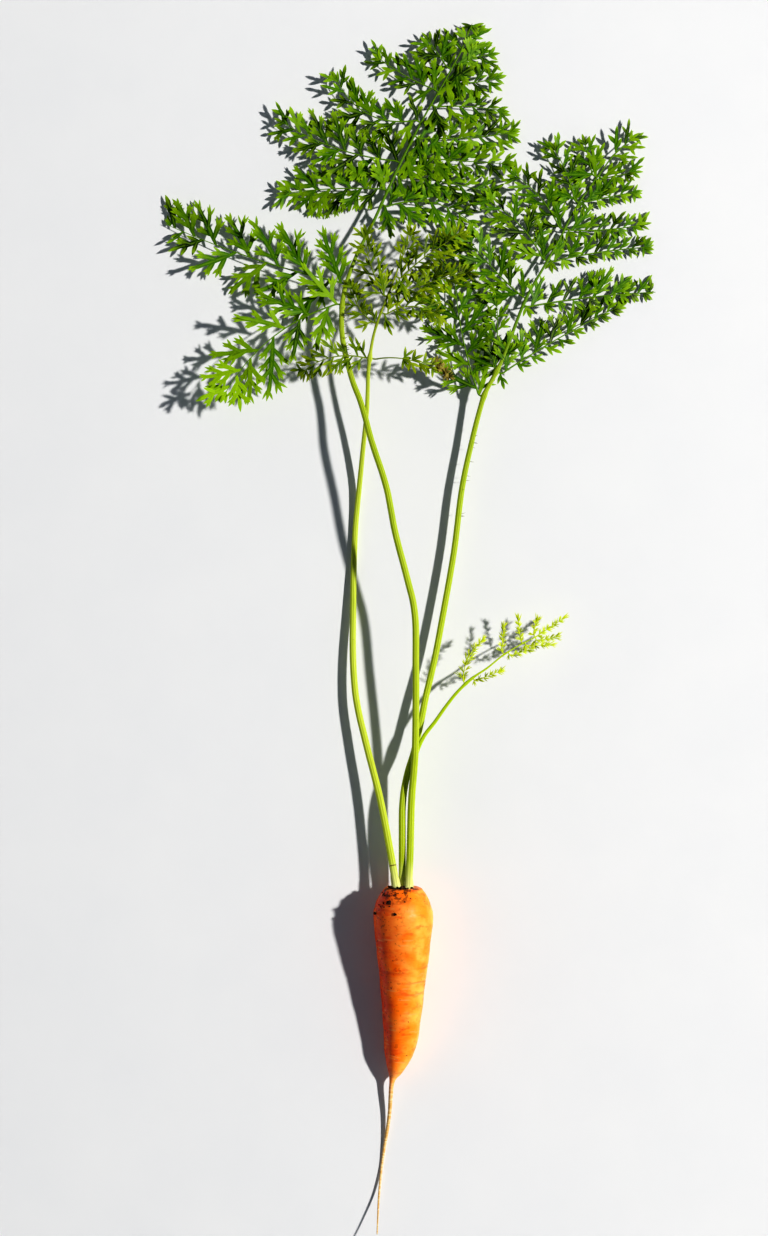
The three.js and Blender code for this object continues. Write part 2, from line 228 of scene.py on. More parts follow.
class Shader:
    """A few short calls for building one node material."""

    def __init__(self, name, roughness, specular=0.5):
        self.material = bpy.data.materials.new(name)
        self.material.use_nodes = True
        self.tree = self.material.node_tree
        self.surface = self.tree.nodes["Principled BSDF"]
        self.surface.inputs["Roughness"].default_value = roughness
        self.surface.inputs["Specular IOR Level"].default_value = specular
        self.place = self.tree.nodes.new("ShaderNodeTexCoord").outputs["Object"]

    def link(self, source, target):
        if isinstance(source, (int, float)):
            target.default_value = source
        elif isinstance(source, tuple):
            target.default_value = (*source, 1.0)
        else:
            self.tree.links.new(source, target)

    def value(self, name):
        node = self.tree.nodes.new("ShaderNodeAttribute")
        node.attribute_name = name
        return node.outputs["Fac"]

    def noise(self, size, detail=4.0, stretch=(1, 1, 1)):
        """Soft noise whose features are about size metres across; stretch makes them longer along an axis."""
        spread = self.tree.nodes.new("ShaderNodeMapping")
        spread.inputs["Scale"].default_value = [1 / s for s in stretch]
        self.link(self.place, spread.inputs["Vector"])
        node = self.tree.nodes.new("ShaderNodeTexNoise")
        node.inputs["Scale"].default_value = 1 / size
        node.inputs["Detail"].default_value = detail
        self.link(spread.outputs["Vector"], node.inputs["Vector"])
        return node.outputs["Fac"]

    def range(self, source, low, high, to_low=0.0, to_high=1.0):
        node = self.tree.nodes.new("ShaderNodeMapRange")
        node.interpolation_type = "SMOOTHSTEP"
        for key, number in (("From Min", low), ("From Max", high), ("To Min", to_low), ("To Max", to_high)):
            node.inputs[key].default_value = number
        self.link(source, node.inputs["Value"])
        return node.outputs["Result"]

    def maths(self, operation, a, b):
        node = self.tree.nodes.new("ShaderNodeMath")
        node.operation = operation
        self.link(a, node.inputs[0])
        self.link(b, node.inputs[1])
        return node.outputs[0]

    def mix(self, share, first, second):
        node = self.tree.nodes.new("ShaderNodeMix")
        node.data_type = "RGBA"
        self.link(share, node.inputs["Factor"])
        self.link(first, node.inputs["A"])
        self.link(second, node.inputs["B"])
        return node.outputs["Result"]

    def finish(self, colour, roughness=None, height=None, bump=0.3, depth=0.2 * MM):
        self.link(colour, self.surface.inputs["Base Color"])
        if roughness is not None:
            self.link(roughness, self.surface.inputs["Roughness"])
        if height is not None:
            node = self.tree.nodes.new("ShaderNodeBump")
            node.inputs["Strength"].default_value = bump
            node.inputs["Distance"].default_value = depth
            self.link(height, node.inputs["Height"])
            self.link(node.outputs["Normal"], self.surface.inputs["Normal"])
        return self.material


def rgb(red, green, blue):
    """A colour as it is seen on a screen, 0 to 255, as the linear numbers that the shader takes."""
    def linear(c):
        c /= 255
        return c / 12.92 if c <= 0.04045 else ((c + 0.055) / 1.055) ** 2.4
    return (linear(red), linear(green), linear(blue))


def root_material():
    """Orange skin with painted light: yellower on the side facing the key lamp, redder and blotched on the
    side turned away, darker in the creases. Also paler scars, soil near the crown, a straw tail.
    """
    s = Shader("root_skin", roughness=0.4, specular=0.2)
    s.surface.inputs["Subsurface Weight"].default_value = 0.08
    s.surface.inputs["Subsurface Radius"].default_value = (1.0, 0.35, 0.1)
    s.surface.inputs["Subsurface Scale"].default_value = 2 * MM
    shaded_orange = s.mix(s.range(s.noise(7 * MM, 3), 0.35, 0.65), rgb(230, 66, 0), rgb(248, 100, 0))
    lit_orange = s.mix(s.range(s.noise(9 * MM, 3), 0.35, 0.65), rgb(250, 142, 30), rgb(255, 180, 82))
    # Painted light: yellower on the side that faces the key lamp, redder on the side turned away.
    colour = s.mix(s.value("lamp_lit"), shaded_orange, lit_orange)
    colour = s.mix(s.range(s.noise(3.2 * MM, 5, (1.6, 0.7, 1.6)), 0.5, 0.75, 0, 0.6), colour, rgb(226, 60, 0))
    fine = s.noise(1.1 * MM, 6, (3, 0.6, 3))
    colour = s.mix(s.range(fine, 0.52, 0.78, 0, 0.35), colour, rgb(255, 170, 60))
    # Darker red in the creases: painted shade.
    colour = s.mix(s.maths("MULTIPLY", s.value("crease"), 0.45), colour, rgb(190, 46, 4))
    colour = s.mix(s.maths("MULTIPLY", s.value("scar"), 0.75), colour, rgb(238, 164, 96))
    straw = s.mix(s.range(fine, 0.4, 0.7), rgb(206, 164, 96), rgb(224, 204, 158))
    colour = s.mix(s.value("tail"), colour, straw)
    stain = s.maths("MULTIPLY", s.value("crown"), s.range(s.noise(2.2 * MM, 3), 0.5, 0.6))
    colour = s.mix(stain, colour, rgb(40, 24, 14))
    # Dark red-brown blotches only on the side turned from the lamp: spots, and painted shade there.
    dots = s.range(s.noise(1.6 * MM, 1), 0.62, 0.68, 0, 0.5)
    blotches_and_shade = s.maths("MULTIPLY", s.maths("SUBTRACT", 1.0, s.value("lamp_lit")), dots)
    colour = s.mix(blotches_and_shade, colour, rgb(120, 40, 12))
    speck = s.range(s.noise(1.3 * MM, 2), 0.72, 0.745, 0, 0.85)
    colour = s.mix(speck, colour, rgb(92, 44, 16))
    gloss = s.range(s.noise(2 * MM, 4), 0.3, 0.7, 0.33, 0.5)
    return s.finish(colour, gloss, s.noise(0.7 * MM, 6, (2.2, 0.8, 2.2)), bump=0.35, depth=0.15 * MM)


def stalk_material(name, low, high, rib, leafy):
    """Ribbed stalk, pale where it leaves the crown, greener towards the leaf."""
    s = Shader(name, roughness=0.42, specular=0.16)
    s.surface.inputs["Subsurface Weight"].default_value = 0.1
    s.surface.inputs["Subsurface Radius"].default_value = (0.7, 1.0, 0.25)
    s.surface.inputs["Subsurface Scale"].default_value = 1 * MM
    along = s.value("along")
    colour = s.mix(s.range(along, 0.1, 0.95), low, high)
    colour = s.mix(s.range(s.value("ridge"), 0.25, 0.9, 0, 0.4), colour, rib)
    blotch = s.noise(2.5 * MM, 4, (1, 4, 1))
    colour = s.mix(s.range(blotch, 0.48, 0.75, 0, 0.35), colour, high)
    colour = s.mix(s.range(s.noise(0.9 * MM, 3), 0.7, 0.78, 0, 0.5), colour, rgb(118, 112, 40))
    colour = s.mix(s.range(s.value("leafy"), 0.0, 0.35), colour, leafy)
    colour = s.mix(s.value("pale"), colour, rgb(226, 226, 158))
    colour = s.mix(s.value("dry"), colour, rgb(112, 92, 44))
    gloss = s.range(blotch, 0.3, 0.7, 0.34, 0.5)
    return s.finish(colour, gloss, s.noise(0.5 * MM, 4, (1, 6, 1)), 0.2, 0.08 * MM)


def leaf_material(name, shade, middle, bright, vein, dry=None):
    """Leaf: each leaflet has its own tone, tips are brighter, veins paler; dry parts are straw."""
    s = Shader(name, roughness=0.5, specular=0.1)
    s.surface.inputs["Subsurface Weight"].default_value = 0.08
    s.surface.inputs["Subsurface Radius"].default_value = (0.5, 1.0, 0.15)
    s.surface.inputs["Subsurface Scale"].default_value = 0.8 * MM
    patch = s.noise(5 * MM, 4)
    tone = s.maths("ADD", s.maths("MULTIPLY", s.value("tone"), 0.6), s.maths("MULTIPLY", patch, 0.5))
    colour = s.mix(s.range(tone, 0.2, 0.55), shade, middle)
    colour = s.mix(s.range(tone, 0.6, 0.95, 0, 0.7), colour, bright)
    colour = s.mix(s.range(s.value("tip"), 0.45, 1.0, 0, 0.75), colour, bright)
    colour = s.mix(s.value("age"), colour, rgb(150, 190, 16))
    colour = s.mix(s.maths("MULTIPLY", s.value("vein"), 0.5), colour, vein)
    if dry:
        edge = s.maths("ADD", s.value("tip"), s.noise(1.6 * MM, 3))
        colour = s.mix(s.range(edge, 1.54, 1.68, 0, 0.85), colour, dry)
    grain = s.noise(0.6 * MM, 4)
    return s.finish(colour, s.range(patch, 0.3, 0.7, 0.4, 0.6), grain, 0.25, 0.08 * MM)


def soil_material():
    s = Shader("soil", roughness=0.95, specular=0.2)
    colour = s.mix(s.range(s.noise(0.9 * MM, 6), 0.35, 0.7), rgb(26, 17, 12), rgb(84, 56, 36))
    return s.finish(colour, None, s.noise(0.35 * MM, 6), 0.8, 0.2 * MM)


def floor_material():
    s = Shader("table", roughness=0.85, specular=0.2)
    colour = s.mix(s.noise(40 * MM, 3), (0.73, 0.735, 0.745), (0.77, 0.77, 0.77))
    return s.finish(colour, None, s.noise(3 * MM, 4), 0.05, 0.1 * MM)


# ---- Root ------------------------------------------------------------------------------------------

ROOT_SIDES = 144
ROOT_STEP = 0.35 * MM
TAIL_RADIUS = 1.2 * MM
FULL_RELIEF_RADIUS = 6 * MM  # a thinner part of the root is smoother
# Marks across the root: how many, their half span, their half thickness and their depth.
CREASES = (22, (4 * MM, 15 * MM), (0.3 * MM, 0.6 * MM), (0.05 * MM, 0.17 * MM))
SCARS = (75, (0.8 * MM, 3 * MM), (0.12 * MM, 0.22 * MM), (0.05 * MM, 0.13 * MM))
CREASE_WAVE = 0.15 * MM
# Angles round the root, from +X towards +Z.
SOILED_SIDE = 2.1
# The side that faces the key lamp, where the skin's colour is painted lighter and yellower (painted light).
LAMP_SIDE = 0.15
SOILED_LENGTH = 4.5 * MM
# The tail's colour begins before the body ends, and comes in gradually.
TAIL_LEAD = 6 * MM
TAIL_FADE = 14 * MM


def wrapped(angle):
    """An angle difference brought to between -pi and pi."""
    return (angle + np.pi) % (2 * np.pi) - np.pi


def body_length(line):
    """How far from the crown the root thins to its tail."""
    return lengths_along(line)[np.argmax(line[:, 3] < TAIL_RADIUS)]


def transverse_marks(rng, body, count, reach, thickness, depth):
    """Random short marks across the root: place along it, angle, half span, thickness and depth."""
    for _ in range(count):
        yield (body * rng.uniform(0.05, 0.97), rng.uniform(-math.pi, math.pi), rng.uniform(*reach),
               rng.uniform(*thickness), rng.uniform(*depth))


def mark_strength(along, angle, radius, place, centre, span, thickness, waviness=0.0):
    """1 on the middle of a transverse mark, falling to 0 at its ends and sides."""
    turn = wrapped(angle - centre)
    line = place + waviness * np.sin(5 * turn + place * 900)
    across = np.exp(-((along - line) / thickness) ** 2)
    return across * np.clip(1.2 - (np.abs(turn) * radius / span) ** 2, 0, 1)


def unevenness(point):
    """Broad swellings, and finer ripples that run across the root."""
    broad = noise.noise(point * 110)
    ripples = noise.noise(Vector((point.x, 3 * point.y, point.z)) * 420)
    return 0.3 * MM * broad + 0.06 * MM * ripples


def facets(angle, along):
    """Three broad flattened sides, and five narrower ones that twist along the root."""
    return 0.22 * MM * np.cos(3 * angle + 0.9) + 0.12 * MM * np.cos(5 * angle + along / (22 * MM))


def root_marks(along, angle, radius, body, rng):
    """Where the creases and the scars are, from 0 to 1, and how far both raise or sink the skin."""
    crease = np.zeros(np.broadcast_shapes(along.shape, angle.shape))
    scar = np.zeros_like(crease)
    relief = np.zeros_like(crease)
    for place, centre, span, thick, depth in transverse_marks(rng, body, *CREASES):
        strength = mark_strength(along, angle, radius, place, centre, span, thick, CREASE_WAVE)
        relief -= depth * strength
        crease = np.maximum(crease, strength)
    for place, centre, span, thick, depth in transverse_marks(rng, body, *SCARS):
        strength = mark_strength(along, angle, radius, place, centre, span, thick)
        rim = mark_strength(along, angle, radius, place, centre, span * 1.15, thick * 2.2)
        relief += 0.6 * depth * rim - 1.6 * depth * strength
        scar = np.maximum(scar, strength)
    return crease, scar, relief


def grow_root(line):
    """The taproot: the CAD's round rings, made uneven and marked, and closed with a dome at the crown."""
    fine = smooth(line, ROOT_STEP)
    along = lengths_along(fine)[:, None]
    body = body_length(fine)
    angle = turns_round(ROOT_SIDES)[None, :]
    radius = fine[:, 3:4]
    crease, scar, relief = root_marks(along, angle, radius, body, random.Random(11))
    ahead, outward = spokes(fine, angle)
    skin_points = fine[:, None, :3] + radius[..., None] * outward
    rough = np.array([[unevenness(Vector(point)) for point in ring] for ring in skin_points.tolist()])
    share = np.clip(radius / FULL_RELIEF_RADIUS, 0, 1)
    spread = radius + share * (relief + rough + facets(angle, along))
    rings = fine[:, None, :3] + spread[..., None] * outward
    tail = np.clip((along - body + TAIL_LEAD) / TAIL_FADE, 0, 1) + 0 * angle
    soiled = np.clip(1.5 * np.cos(angle - SOILED_SIDE) - 0.3, 0, 1)
    crown = np.clip(1.1 - along / SOILED_LENGTH, 0, 1) * soiled
    # Painted light: 1 on the side facing the key lamp, falling to 0 on the side turned away.
    lamp_lit = np.clip(0.5 + 0.75 * np.cos(angle - LAMP_SIDE), 0, 1) + 0 * along
    dome = crown_dome(rings[0], -ahead[0])

    def with_dome(values, on_dome=0.0):
        return np.vstack([np.full((len(dome), ROOT_SIDES), on_dome), values])

    skin = Skin("crease", "scar", "tail", "crown", "lamp_lit")
    skin.add(np.vstack([dome, rings]), crease=with_dome(crease * share), scar=with_dome(scar * share),
             tail=with_dome(tail), crown=with_dome(crown, 0.8), lamp_lit=with_dome(lamp_lit, 0.4))
    return skin.build("taproot_skin", root_material())


def crown_dome(rim, outward):
    """Rings that round the crown's end off and dip in the middle, where the stalks stand."""
    centre = rim.mean(axis=0)
    steps = [(0.1, -0.6), (0.3, 0.15), (0.5, 0.75), (0.68, 1.05), (0.84, 1.0), (0.95, 0.55)]  # width, mm out
    return np.array([centre + (rim - centre) * share + outward * rise * MM for share, rise in steps])


# ---- Stalks ----------------------------------------------------------------------------------------

STALK_STEP = 1.0 * MM
STALK_SIDES = 36
RIDGES = 9
STALK_SUNK = 3.5 * MM  # how deep a stalk's foot is in the crown
FOOT_LENGTH = 7 * MM  # where it is thicker
PALE_LENGTH = 15 * MM
JOINT_LENGTH = 1.6 * MM  # of the swelling where a pinna leaves
# How much the ridges raise the skin and the groove on top sinks it, as shares of the radius, and the
# groove's half width as an angle.
RIDGE_HEIGHT = 0.07
GROOVE_DEPTH = 0.12
GROOVE_WIDTH = 0.45
# The membranes at the foot, in mm.
SHEATH_LENGTHS = (8, 12)
SHEATH_WIDTHS = (1.3, 1.8)
# A scar's rings: places along the stalk in mm, and radii as shares of the stalk's.
SCAR_SLIDES = (-0.22, -0.1, 0.1, 0.22)
SCAR_SWELL = (0.98, 1.04, 1.04, 0.98)
# A bristle's length in mm, and its radii from its foot to its point.
BRISTLE_LENGTHS = (1.0, 2.4)
BRISTLE_RADII = (0.13, 0.09, 0.02)


def grow_stalk(node, line, branch_points, material, rng, bristle_span=None, scar_place=None):
    """A ribbed stalk that swells where pinnae leave it and flares where it grips the crown.

    bristle_span is from where to where along it there are bristles, and how many. scar_place is how far
    along it a scar is.
    """
    foot = line[0] + np.append(unit(line[0, :3] - line[1, :3]) * STALK_SUNK, 0.1 * MM)
    fine = smooth(np.vstack([foot, line]), STALK_STEP)
    along = lengths_along(fine)
    radius = fine[:, 3] * (1 + 0.14 * np.exp(-(along / FOOT_LENGTH) ** 2))
    nodes = [along[np.argmin(np.linalg.norm(fine[:, :3] - point, axis=1))] for point in branch_points]
    leafy = np.clip((along - min(nodes)) / (along[-1] - min(nodes)), 0, 1)
    radius = radius * (1 - 0.48 * np.sqrt(leafy))
    for place in nodes:
        radius *= 1 + 0.25 * np.exp(-((along - place) / JOINT_LENGTH) ** 2)
    angle = turns_round(STALK_SIDES)[None, :]
    twist = 0.2 * np.sin(along / (60 * MM))[:, None]
    ridge = 0.5 + 0.5 * np.cos(RIDGES * (angle + twist))
    groove = np.exp(-(wrapped(angle - np.pi / 2) / GROOVE_WIDTH) ** 2)
    spread = radius[:, None] * (1 + RIDGE_HEIGHT * (ridge - 0.5) - GROOVE_DEPTH * groove)
    _, outward = spokes(fine, angle)
    rings = fine[:, None, :3] + spread[..., None] * outward
    share = (along / along[-1])[:, None]
    pale = np.clip(1 - along / PALE_LENGTH, 0, 1)[:, None]
    skin = Skin("along", "ridge", "pale", "dry", "leafy")
    skin.add(rings, along=share, ridge=ridge, pale=pale, leafy=leafy[:, None])
    add_sheath(skin, fine, radius, rng)
    if scar_place:
        add_scar(skin, fine, radius, along, scar_place)
    if bristle_span:
        add_bristles(skin, fine, radius, along, bristle_span, rng)
    return skin.build(node + "_ribbed", material)


def add_scar(skin, line, radius, along, place):
    """A thin dark band round the stalk."""
    k = int(np.searchsorted(along, place))
    ahead, outward = spokes(line, turns_round(STALK_SIDES)[None, :])
    slides = np.array(SCAR_SLIDES)[:, None, None] * MM
    swell = np.array(SCAR_SWELL)[:, None, None]
    skin.add(line[k, :3] + slides * ahead[k] + swell * radius[k] * outward[k], along=0.5, dry=0.9)


def add_sheath(skin, line, radius, rng):
    """Thin pale membranes on both sides of the stalk's foot."""
    ahead, left, above = directions(line)
    for side in (1, -1):
        start = line[1, :3] + left[1] * side * radius[1] * 0.75 + above[1] * radius[1] * 0.35
        rings = blade_rings(
            start[None], unit(ahead[1] - side * 0.03 * left[1])[None], left[1][None],
            np.array([rng.uniform(*SHEATH_LENGTHS) * MM]), np.array([rng.uniform(*SHEATH_WIDTHS) * MM]),
            np.array([-0.03 * side]), np.array([0.03]))
        skin.add(rings, pale=0.95, dry=0.12)


def add_bristles(skin, line, radius, along, span, rng):
    """Short stiff hairs on the stalk, each a thin spike that leans forward."""
    ahead, left, above = directions(line)
    low, high, count = span
    candidates = np.flatnonzero((along > low) & (along < high))
    for _ in range(count):
        k = int(rng.choice(candidates))
        turn = rng.uniform(-1.1, 1.3)
        side = -left[k] * math.cos(turn) + above[k] * math.sin(turn)
        heading = unit(side + ahead[k] * rng.uniform(-0.1, 0.5))
        across = unit(np.cross(heading, ahead[k]))
        reach = rng.uniform(*BRISTLE_LENGTHS) * MM
        foot = line[k, :3] + side * radius[k] * 0.9
        spine = foot + np.outer([0, 0.5, 1], heading * reach)
        thick = np.array(BRISTLE_RADII) * MM
        corners = [across * math.cos(a) + np.cross(heading, across) * math.sin(a) for a in turns_round(3)]
        rings = spine[:, None] + thick[:, None, None] * np.array(corners)[None]
        skin.add(rings, along=0.6, dry=0.75)


# ---- Leaves ----------------------------------------------------------------------------------------

BLADE_STATIONS = np.array([0, 0.14, 0.32, 0.52, 0.72, 0.88, 1.0])
BLADE_WIDTHS = np.array([0.5, 0.74, 0.95, 1.0, 0.76, 0.4, 0.03])
# Offsets round a blade's section, as shares of its half width: across, and over.
BLADE_ACROSS = np.array([1, 0.5, 0, -0.5, -1, 0])
BLADE_OVER = np.array([0.06, 0.17, 0.02, 0.17, 0.06, -0.3])
VEIN_CORNER = np.array([0, 0, 1, 0, 0, 1.0])
# How far inside the CAD's box a pinnule and a lobe end, at its sides and top, and at the table.
PINNULE_MARGIN = 2.3 * MM
LOBE_MARGIN = 0.6 * MM
FLOOR_MARGIN = 0.4 * MM
RIB_STEP = 0.8 * MM
RIB_SIDES = 8
FULL_WING = 11 * MM  # a pinnule this long has a wing of the style's width
LAST_PINNULE = 1 * MM  # from the end of the rib, for those at its sides
END_PINNULE = 4.6 * MM  # the length of the one that ends a pinna


def blade_rings(start, ahead, left, length, width, bend, droop):
    """Rings of many pointed blades at once. bend curves a blade to its left, droop bends it down."""
    over = unit(np.cross(ahead, left))
    u = BLADE_STATIONS[None, :, None]
    reach = length[:, None, None]
    curve = bend[:, None, None] * left[:, None] - droop[:, None, None] * over[:, None]
    line = start[:, None] + reach * (u * ahead[:, None] + u ** 2 * curve)
    half = (width[:, None] / 2 * BLADE_WIDTHS[None])[..., None, None]
    across = BLADE_ACROSS[None, None, :, None] * left[:, None, None]
    above = BLADE_OVER[None, None, :, None] * over[:, None, None]
    return line[:, :, None] + half * (across + above)


class Leaflets:
    """Collects the blades of one pinna: each is one pointed lobe, tooth or winged rib."""

    def __init__(self, style, rng):
        self.style, self.rng, self.rows = style, rng, []
        self.tone, self.age = 0.5, 0.0

    def add(self, start, ahead, left, length, width, bend, droop, tip_from, tip_to):
        self.rows.append((*start, *ahead, *left, length, width, bend, droop, tip_from, tip_to,
                          self.tone, self.age))

    def pour(self, skin):
        rows = np.array(self.rows)
        length, width, bend, droop, tip_from, tip_to, tone, age = rows[:, 9:].T
        rings = blade_rings(rows[:, 0:3], rows[:, 3:6], rows[:, 6:9], length, width, bend, droop)
        tips = tip_from[:, None] + (tip_to - tip_from)[:, None] * BLADE_STATIONS[None]
        skin.add(rings, tone=tone[:, None, None], age=age[:, None, None], tip=tips[..., None],
                 vein=VEIN_CORNER[None, None])


def turned(ahead, left, angle):
    """A direction turned to the left in the leaf's own plane, and the new left."""
    c, s = math.cos(angle), math.sin(angle)
    return ahead * c + left * s, left * c - ahead * s


def aimed(start, ahead, length, margin):
    """A leaflet's direction and length, changed where it would end outside the box that the CAD fills."""
    low = np.array(CAD_LO) + [margin, margin, FLOOR_MARGIN]
    high = np.array(CAD_HI) - margin
    reach = np.clip(start + ahead * length, low, high) - start
    return unit(reach), np.linalg.norm(reach)


def grow_lobe(leaflets, start, ahead, left, length, tip):
    """A pointed lobe; a long one is cut into teeth on both sides."""
    rng, style = leaflets.rng, leaflets.style
    ahead, length = aimed(start, ahead, length, LOBE_MARGIN)
    left = unit(left - ahead * (left @ ahead))
    width = min(style["lobe_width"], 0.32 * length) * rng.uniform(0.85, 1.15)
    bend = rng.uniform(-0.14, 0.14)
    droop = rng.uniform(-0.1, 0.22) * style["curl"]
    leaflets.add(start, ahead, left, length, width, bend, droop, tip, 1.0)
    if length < style["toothed"]:
        return
    over = np.cross(ahead, left)
    for side in (1, -1):
        for place in (0.4, 0.66) if length > 1.6 * style["toothed"] else (0.5,):
            share = place + rng.uniform(-0.07, 0.07)
            foot = start + length * (share * ahead + share ** 2 * (bend * left - droop * over))
            toward, beside = turned(ahead, left, side * math.radians(rng.uniform(24, 36)))
            tooth = length * (1 - share) * rng.uniform(0.75, 1.0)
            leaflets.add(foot, toward, beside, tooth, 0.56 * width, side * -0.08, droop,
                         tip + (1 - tip) * share, 1.0)


def grow_pinnule(leaflets, base, ahead, over, length, bend, tip_tone):
    """A side leaflet of a pinna: a winged rib, pairs of lobes, and a lobe at the end."""
    rng, style = leaflets.rng, leaflets.style
    left = unit(np.cross(over, ahead))
    over = np.cross(ahead, left)
    leaflets.tone = rng.random()
    droop = rng.uniform(-0.08, 0.22) * style["curl"]
    end_lobe = min(max(0.42 * length, style["shortest_lobe"]), style["longest_lobe"])
    stem = max(length - end_lobe, 0.25 * length)
    wing = style["wing"] * min(max(length / FULL_WING, 0.55), 1.3)
    leaflets.add(base, ahead, left, 0.9 * length, wing, bend, droop, 0.0, 0.6 * tip_tone)

    def along(share):
        return base + length * (share * ahead + share ** 2 * (bend * left - droop * over))

    pairs = max(1, round(stem / max(style["pitch"], 0.23 * length)))
    for k in range(pairs):
        for side in (1, -1):
            share = (k + 0.6 + 0.3 * side * rng.uniform(-0.2, 1)) / (pairs + 0.2) * stem / length
            angle = side * math.radians(rng.uniform(*style["angle"]) - 10 * share)
            toward, beside = turned(ahead, left, angle)
            toward = unit(toward + over * rng.uniform(-0.22, 0.25) * style["curl"])
            reach = style["lobe_share"] * length * (1 - 0.45 * share) * rng.uniform(0.75, 1.2)
            reach = min(max(reach, style["shortest_lobe"]), style["longest_lobe"])
            grow_lobe(leaflets, along(share), toward, beside, reach, 0.35 * tip_tone)
    toward, beside = turned(ahead, left, 2 * bend * stem / length)
    grow_lobe(leaflets, along(stem / length), toward, beside, end_lobe, 0.45 * tip_tone)


def pinna_rib(spine, thickness):
    """Rings of the thin round rib that thins towards the pinna's tip."""
    _, outward = spokes(spine, turns_round(RIB_SIDES)[None, :])
    radius = np.linspace(thickness, 0.35 * thickness, len(spine))
    return spine[:, None] + radius[:, None, None] * outward


def grow_pinna(node, parent_line, style, material, slot, rng, sides=(1, 1), bare=0.0, ageing=False):
    """Grows one pinna along its CAD plate, with pinnules about as long as the plate is wide.

    sides are the pinnules' lengths to the left and right, as shares. bare is the share of the rib that
    has none. ageing yellows the far end. Returns where the pinna leaves its stalk.
    """
    ribs, halves = plate_of(node, parent_line)
    start = parent_line[np.argmin(np.linalg.norm(parent_line[:, :3] - ribs[0], axis=1)), :3]
    spine = smooth(np.vstack([start, ribs]), RIB_STEP)
    places = lengths_along(spine)
    ahead, left, above = directions(spine)
    skin = Skin("tone", "tip", "vein", "age")
    skin.add(pinna_rib(spine, style["rib"]), tone=0.6, tip=0.1, vein=0.9)
    leaflets = Leaflets(style, rng)
    lobe_places = lengths_along(np.vstack([start, ribs]))[2::2]
    lobe_halves = halves[1::2]
    widest = lobe_halves.max()
    for side, share in zip((1, -1), sides):
        place = max((0.3 + 0.15 * side) * widest, bare * places[-1])
        while place < places[-1] - LAST_PINNULE:
            k = int(np.searchsorted(places, place))
            progress = place / places[-1]
            half = max(np.interp(place, lobe_places, lobe_halves), widest * (1 - style["taper"] * progress))
            length = max(style["reach"] * half, style["shortest"] * (1 - 0.45 * progress))
            length *= share * rng.uniform(0.82, 1.18)
            angle = math.radians(style["lean"] - 18 * progress + rng.uniform(-6, 6))
            toward = unit(ahead[k] * math.cos(angle) + left[k] * side * math.sin(angle)
                          + above[k] * rng.uniform(-0.2, 0.28) * style["curl"])
            toward, length = aimed(spine[k], toward, length, PINNULE_MARGIN)
            lean = unit(above[k] + side * left[k] * rng.uniform(-0.32, 0.35) * style["curl"]
                        + ahead[k] * rng.uniform(-0.25, 0.25) * style["curl"])
            leaflets.age = min(max((progress - 0.5) / 0.35, 0), 1) * ageing
            grow_pinnule(leaflets, spine[k], toward, lean, length, -side * rng.uniform(0, 0.16),
                         0.5 + 0.5 * progress)
            place += max(style["closest"], style["spacing"] * half) * rng.uniform(0.88, 1.12)
    end = np.searchsorted(places, places[-1] - END_PINNULE / 2)
    toward, length = aimed(spine[end], ahead[-1], END_PINNULE, PINNULE_MARGIN)
    grow_pinnule(leaflets, spine[end], toward, above[-1], length, 0, 1)
    leaflets.pour(skin)
    piece = skin.build(node + "_leaflets", material, sharp_angle=60)
    stand_for(piece, node, slot)
    return start


# ---- Soil ------------------------------------------------------------------------------------------

CROWN_LUMPS = 60
SMEARS = 26
SOIL_CLEARANCE = 0.1 * MM  # over the table
CRUMB_SUNK = 0.35 * MM


def soil_lump(builder, centre, size, rng, flatness=1.0):
    """Adds one rough crumb of soil."""
    made = bmesh.ops.create_icosphere(builder, subdivisions=3, radius=1.0)
    seed = Vector((rng.random(), rng.random(), rng.random())) * 50
    stretch = Vector((rng.uniform(0.75, 1.2), rng.uniform(0.75, 1.2), flatness * rng.uniform(0.7, 1.0)))
    for vertex in made["verts"]:
        swell = 1 + 0.6 * noise.noise(vertex.co * 1.6 + seed) + 0.3 * noise.noise(vertex.co * 4 + seed)
        vertex.co = Vector(centre) + size * swell * vertex.co * stretch
        vertex.co.z = max(vertex.co.z, SOIL_CLEARANCE)


def soil_piece(name, node, lumps, material, rng):
    """One piece of soil made of many lumps, each a place, a size and a flatness."""
    builder = bmesh.new()
    for centre, size, flatness in lumps:
        soil_lump(builder, centre, size, rng, flatness)
    mesh = bpy.data.meshes.new(name)
    builder.to_mesh(mesh)
    builder.free()
    mesh.polygons.foreach_set("use_smooth", [True] * len(mesh.polygons))
    mesh.materials.append(material)
    piece = bpy.data.objects.new(name, mesh)
    bpy.context.scene.collection.objects.link(piece)
    stand_for(piece, node, "soil")


def crown_lumps(line, rng):
    """Soil packed round the stalks, mostly on their left, and smeared over the crown's upper edge."""
    lo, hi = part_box("crown_soil")
    middle = np.array((lo + hi) / 2)
    places = lengths_along(line)
    ahead = unit(line[1, :3] - line[0, :3])
    ring_radius = (hi.x - lo.x) / 2
    for _ in range(CROWN_LUMPS):
        angle = rng.triangular(0.05, 1.15, 0.75) * math.pi
        reach = ring_radius * rng.uniform(0.45, 1.0)
        place = np.array([middle[0], middle[1], line[0, 2]])
        place += reach * np.array([math.cos(angle), 0, math.sin(angle)])
        yield place + ahead * rng.uniform(0.1, 1.3) * MM, rng.triangular(0.2, 0.85, 0.35) * MM, 1.0
    for _ in range(SMEARS):
        angle = rng.triangular(0.35, 0.95, 0.7) * math.pi
        slide = rng.triangular(0.2, 8, 0.8) * MM
        k = int(np.searchsorted(places, slide))
        reach = line[k, 3] - 0.05 * MM
        yield (line[k, :3] + reach * np.array([math.cos(angle), 0, math.sin(angle)]),
               rng.triangular(0.12, 0.42, 0.2) * MM, 0.7)


